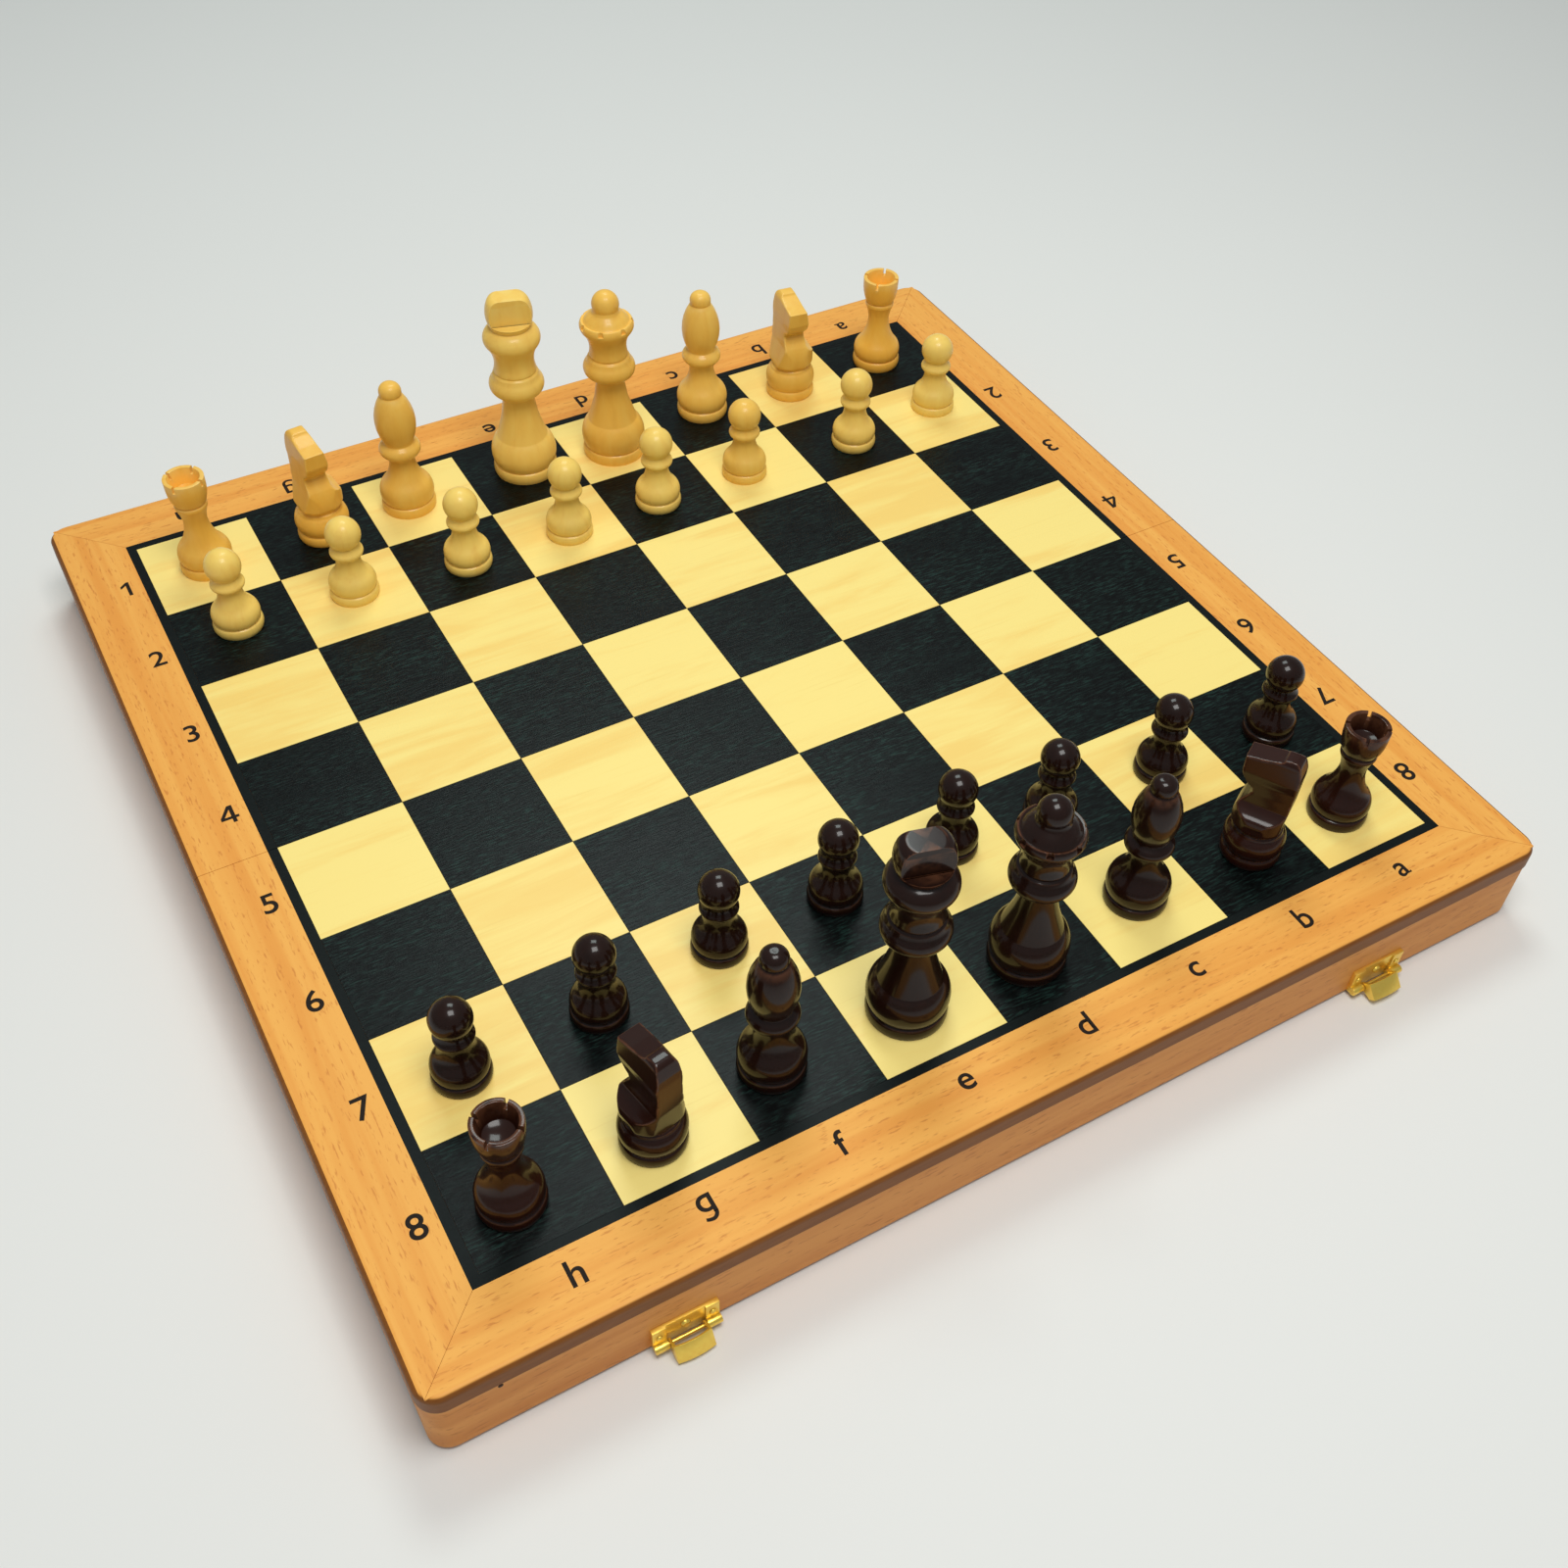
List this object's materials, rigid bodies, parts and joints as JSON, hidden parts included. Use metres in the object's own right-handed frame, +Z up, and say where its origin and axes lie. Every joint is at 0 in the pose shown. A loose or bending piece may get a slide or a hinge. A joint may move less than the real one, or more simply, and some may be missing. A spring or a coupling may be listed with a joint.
{
  "type": "folding chess set",
  "caption": "Folding wooden chess box standing open as a lettered board, with clasps and all its turned men on their squares.",
  "frame": {"origin": "on the table under the middle of the fold, where the two halves meet", "axes": "+X along the fold from file h to file a, +Y towards white's rank 1, +Z up"},
  "size_m": [0.39, 0.4026, 0.1081],
  "materials": {
    "edge_brown": "satin lacquer",
    "wall_wood": "satin lacquer",
    "beech_rail": "satin lacquer",
    "veneer_light": "satin lacquer",
    "veneer_dark": "gloss lacquer",
    "line_black": "satin",
    "boxwood": "satin lacquer",
    "dark_wood": "gloss lacquer",
    "brass": "bright plated"
  },
  "bodies": {
    "front_half": {"board_front": "edge_brown", "light_squares_front": "veneer_light", "dark_squares_front": "veneer_dark", "border_line_front": "line_black", "rails_front": "beech_rail", "end_wall_front": "wall_wood", "side_walls_front": "wall_wood", "seam_wall_front": "wall_wood", "hinge_leaves_front": "brass", "hinge_pins": "brass", "hinge_screws_front": "brass", "clasp_plates": "brass", "clasp_pins": "brass", "clasp_nails": "brass"},
    "rear_half": {"board_rear": "edge_brown", "light_squares_rear": "veneer_light", "dark_squares_rear": "veneer_dark", "border_line_rear": "line_black", "rails_rear": "beech_rail", "end_wall_rear": "wall_wood", "side_walls_rear": "wall_wood", "seam_wall_rear": "wall_wood", "hinge_leaves_rear": "brass", "hinge_screws_rear": "brass", "catch_plates": "brass", "catch_nails": "brass"},
    "clasp_left": {"clasp_lever_left": "brass"},
    "clasp_right": {"clasp_lever_right": "brass"},
    "white_rook_h_man": {"white_rook_h": "boxwood"},
    "white_pawn_h_man": {"white_pawn_h": "boxwood"},
    "white_knight_g_man": {"white_knight_g": "boxwood"},
    "white_pawn_g_man": {"white_pawn_g": "boxwood"},
    "white_bishop_f_man": {"white_bishop_f": "boxwood"},
    "white_pawn_f_man": {"white_pawn_f": "boxwood"},
    "white_king_man": {"white_king": "boxwood"},
    "white_pawn_e_man": {"white_pawn_e": "boxwood"},
    "white_queen_man": {"white_queen": "boxwood"},
    "white_pawn_d_man": {"white_pawn_d": "boxwood"},
    "white_bishop_c_man": {"white_bishop_c": "boxwood"},
    "white_pawn_c_man": {"white_pawn_c": "boxwood"},
    "white_knight_b_man": {"white_knight_b": "boxwood"},
    "white_pawn_b_man": {"white_pawn_b": "boxwood"},
    "white_rook_a_man": {"white_rook_a": "boxwood"},
    "white_pawn_a_man": {"white_pawn_a": "boxwood"},
    "black_rook_h_man": {"black_rook_h": "dark_wood"},
    "black_pawn_h_man": {"black_pawn_h": "dark_wood"},
    "black_knight_g_man": {"black_knight_g": "dark_wood"},
    "black_pawn_g_man": {"black_pawn_g": "dark_wood"},
    "black_bishop_f_man": {"black_bishop_f": "dark_wood"},
    "black_pawn_f_man": {"black_pawn_f": "dark_wood"},
    "black_king_man": {"black_king": "dark_wood"},
    "black_pawn_e_man": {"black_pawn_e": "dark_wood"},
    "black_queen_man": {"black_queen": "dark_wood"},
    "black_pawn_d_man": {"black_pawn_d": "dark_wood"},
    "black_bishop_c_man": {"black_bishop_c": "dark_wood"},
    "black_pawn_c_man": {"black_pawn_c": "dark_wood"},
    "black_knight_b_man": {"black_knight_b": "dark_wood"},
    "black_pawn_b_man": {"black_pawn_b": "dark_wood"},
    "black_rook_a_man": {"black_rook_a": "dark_wood"},
    "black_pawn_a_man": {"black_pawn_a": "dark_wood"}
  },
  "joints": [
    {"name": "fold", "type": "hinge", "parent": "front_half", "child": "rear_half", "pos_m": [0, 0, 0.0015], "axis": [-1, 0, 0], "range_deg": [0, 180]},
    {"name": "clasp_left_hinge", "type": "hinge", "parent": "front_half", "child": "clasp_left", "pos_m": [-0.122, -0.197, 0.0033], "axis": [-1, 0, 0], "range_deg": [-28, 42]},
    {"name": "clasp_right_hinge", "type": "hinge", "parent": "front_half", "child": "clasp_right", "pos_m": [0.13, -0.197, 0.0033], "axis": [-1, 0, 0], "range_deg": [-40, 30]},
    {"name": "white_rook_h_lift", "type": "slide", "parent": "rear_half", "child": "white_rook_h_man", "axis": [0, 0, 1], "range_m": [0, 0.1]},
    {"name": "white_pawn_h_lift", "type": "slide", "parent": "rear_half", "child": "white_pawn_h_man", "axis": [0, 0, 1], "range_m": [0, 0.1]},
    {"name": "white_knight_g_lift", "type": "slide", "parent": "rear_half", "child": "white_knight_g_man", "axis": [0, 0, 1], "range_m": [0, 0.1]},
    {"name": "white_pawn_g_lift", "type": "slide", "parent": "rear_half", "child": "white_pawn_g_man", "axis": [0, 0, 1], "range_m": [0, 0.1]},
    {"name": "white_bishop_f_lift", "type": "slide", "parent": "rear_half", "child": "white_bishop_f_man", "axis": [0, 0, 1], "range_m": [0, 0.1]},
    {"name": "white_pawn_f_lift", "type": "slide", "parent": "rear_half", "child": "white_pawn_f_man", "axis": [0, 0, 1], "range_m": [0, 0.1]},
    {"name": "white_king_lift", "type": "slide", "parent": "rear_half", "child": "white_king_man", "axis": [0, 0, 1], "range_m": [0, 0.1]},
    {"name": "white_pawn_e_lift", "type": "slide", "parent": "rear_half", "child": "white_pawn_e_man", "axis": [0, 0, 1], "range_m": [0, 0.1]},
    {"name": "white_queen_lift", "type": "slide", "parent": "rear_half", "child": "white_queen_man", "axis": [0, 0, 1], "range_m": [0, 0.1]},
    {"name": "white_pawn_d_lift", "type": "slide", "parent": "rear_half", "child": "white_pawn_d_man", "axis": [0, 0, 1], "range_m": [0, 0.1]},
    {"name": "white_bishop_c_lift", "type": "slide", "parent": "rear_half", "child": "white_bishop_c_man", "axis": [0, 0, 1], "range_m": [0, 0.1]},
    {"name": "white_pawn_c_lift", "type": "slide", "parent": "rear_half", "child": "white_pawn_c_man", "axis": [0, 0, 1], "range_m": [0, 0.1]},
    {"name": "white_knight_b_lift", "type": "slide", "parent": "rear_half", "child": "white_knight_b_man", "axis": [0, 0, 1], "range_m": [0, 0.1]},
    {"name": "white_pawn_b_lift", "type": "slide", "parent": "rear_half", "child": "white_pawn_b_man", "axis": [0, 0, 1], "range_m": [0, 0.1]},
    {"name": "white_rook_a_lift", "type": "slide", "parent": "rear_half", "child": "white_rook_a_man", "axis": [0, 0, 1], "range_m": [0, 0.1]},
    {"name": "white_pawn_a_lift", "type": "slide", "parent": "rear_half", "child": "white_pawn_a_man", "axis": [0, 0, 1], "range_m": [0, 0.1]},
    {"name": "black_rook_h_lift", "type": "slide", "parent": "front_half", "child": "black_rook_h_man", "axis": [0, 0, 1], "range_m": [0, 0.1]},
    {"name": "black_pawn_h_lift", "type": "slide", "parent": "front_half", "child": "black_pawn_h_man", "axis": [0, 0, 1], "range_m": [0, 0.1]},
    {"name": "black_knight_g_lift", "type": "slide", "parent": "front_half", "child": "black_knight_g_man", "axis": [0, 0, 1], "range_m": [0, 0.1]},
    {"name": "black_pawn_g_lift", "type": "slide", "parent": "front_half", "child": "black_pawn_g_man", "axis": [0, 0, 1], "range_m": [0, 0.1]},
    {"name": "black_bishop_f_lift", "type": "slide", "parent": "front_half", "child": "black_bishop_f_man", "axis": [0, 0, 1], "range_m": [0, 0.1]},
    {"name": "black_pawn_f_lift", "type": "slide", "parent": "front_half", "child": "black_pawn_f_man", "axis": [0, 0, 1], "range_m": [0, 0.1]},
    {"name": "black_king_lift", "type": "slide", "parent": "front_half", "child": "black_king_man", "axis": [0, 0, 1], "range_m": [0, 0.1]},
    {"name": "black_pawn_e_lift", "type": "slide", "parent": "front_half", "child": "black_pawn_e_man", "axis": [0, 0, 1], "range_m": [0, 0.1]},
    {"name": "black_queen_lift", "type": "slide", "parent": "front_half", "child": "black_queen_man", "axis": [0, 0, 1], "range_m": [0, 0.1]},
    {"name": "black_pawn_d_lift", "type": "slide", "parent": "front_half", "child": "black_pawn_d_man", "axis": [0, 0, 1], "range_m": [0, 0.1]},
    {"name": "black_bishop_c_lift", "type": "slide", "parent": "front_half", "child": "black_bishop_c_man", "axis": [0, 0, 1], "range_m": [0, 0.1]},
    {"name": "black_pawn_c_lift", "type": "slide", "parent": "front_half", "child": "black_pawn_c_man", "axis": [0, 0, 1], "range_m": [0, 0.1]},
    {"name": "black_knight_b_lift", "type": "slide", "parent": "front_half", "child": "black_knight_b_man", "axis": [0, 0, 1], "range_m": [0, 0.1]},
    {"name": "black_pawn_b_lift", "type": "slide", "parent": "front_half", "child": "black_pawn_b_man", "axis": [0, 0, 1], "range_m": [0, 0.1]},
    {"name": "black_rook_a_lift", "type": "slide", "parent": "front_half", "child": "black_rook_a_man", "axis": [0, 0, 1], "range_m": [0, 0.1]},
    {"name": "black_pawn_a_lift", "type": "slide", "parent": "front_half", "child": "black_pawn_a_man", "axis": [0, 0, 1], "range_m": [0, 0.1]}
  ]
}
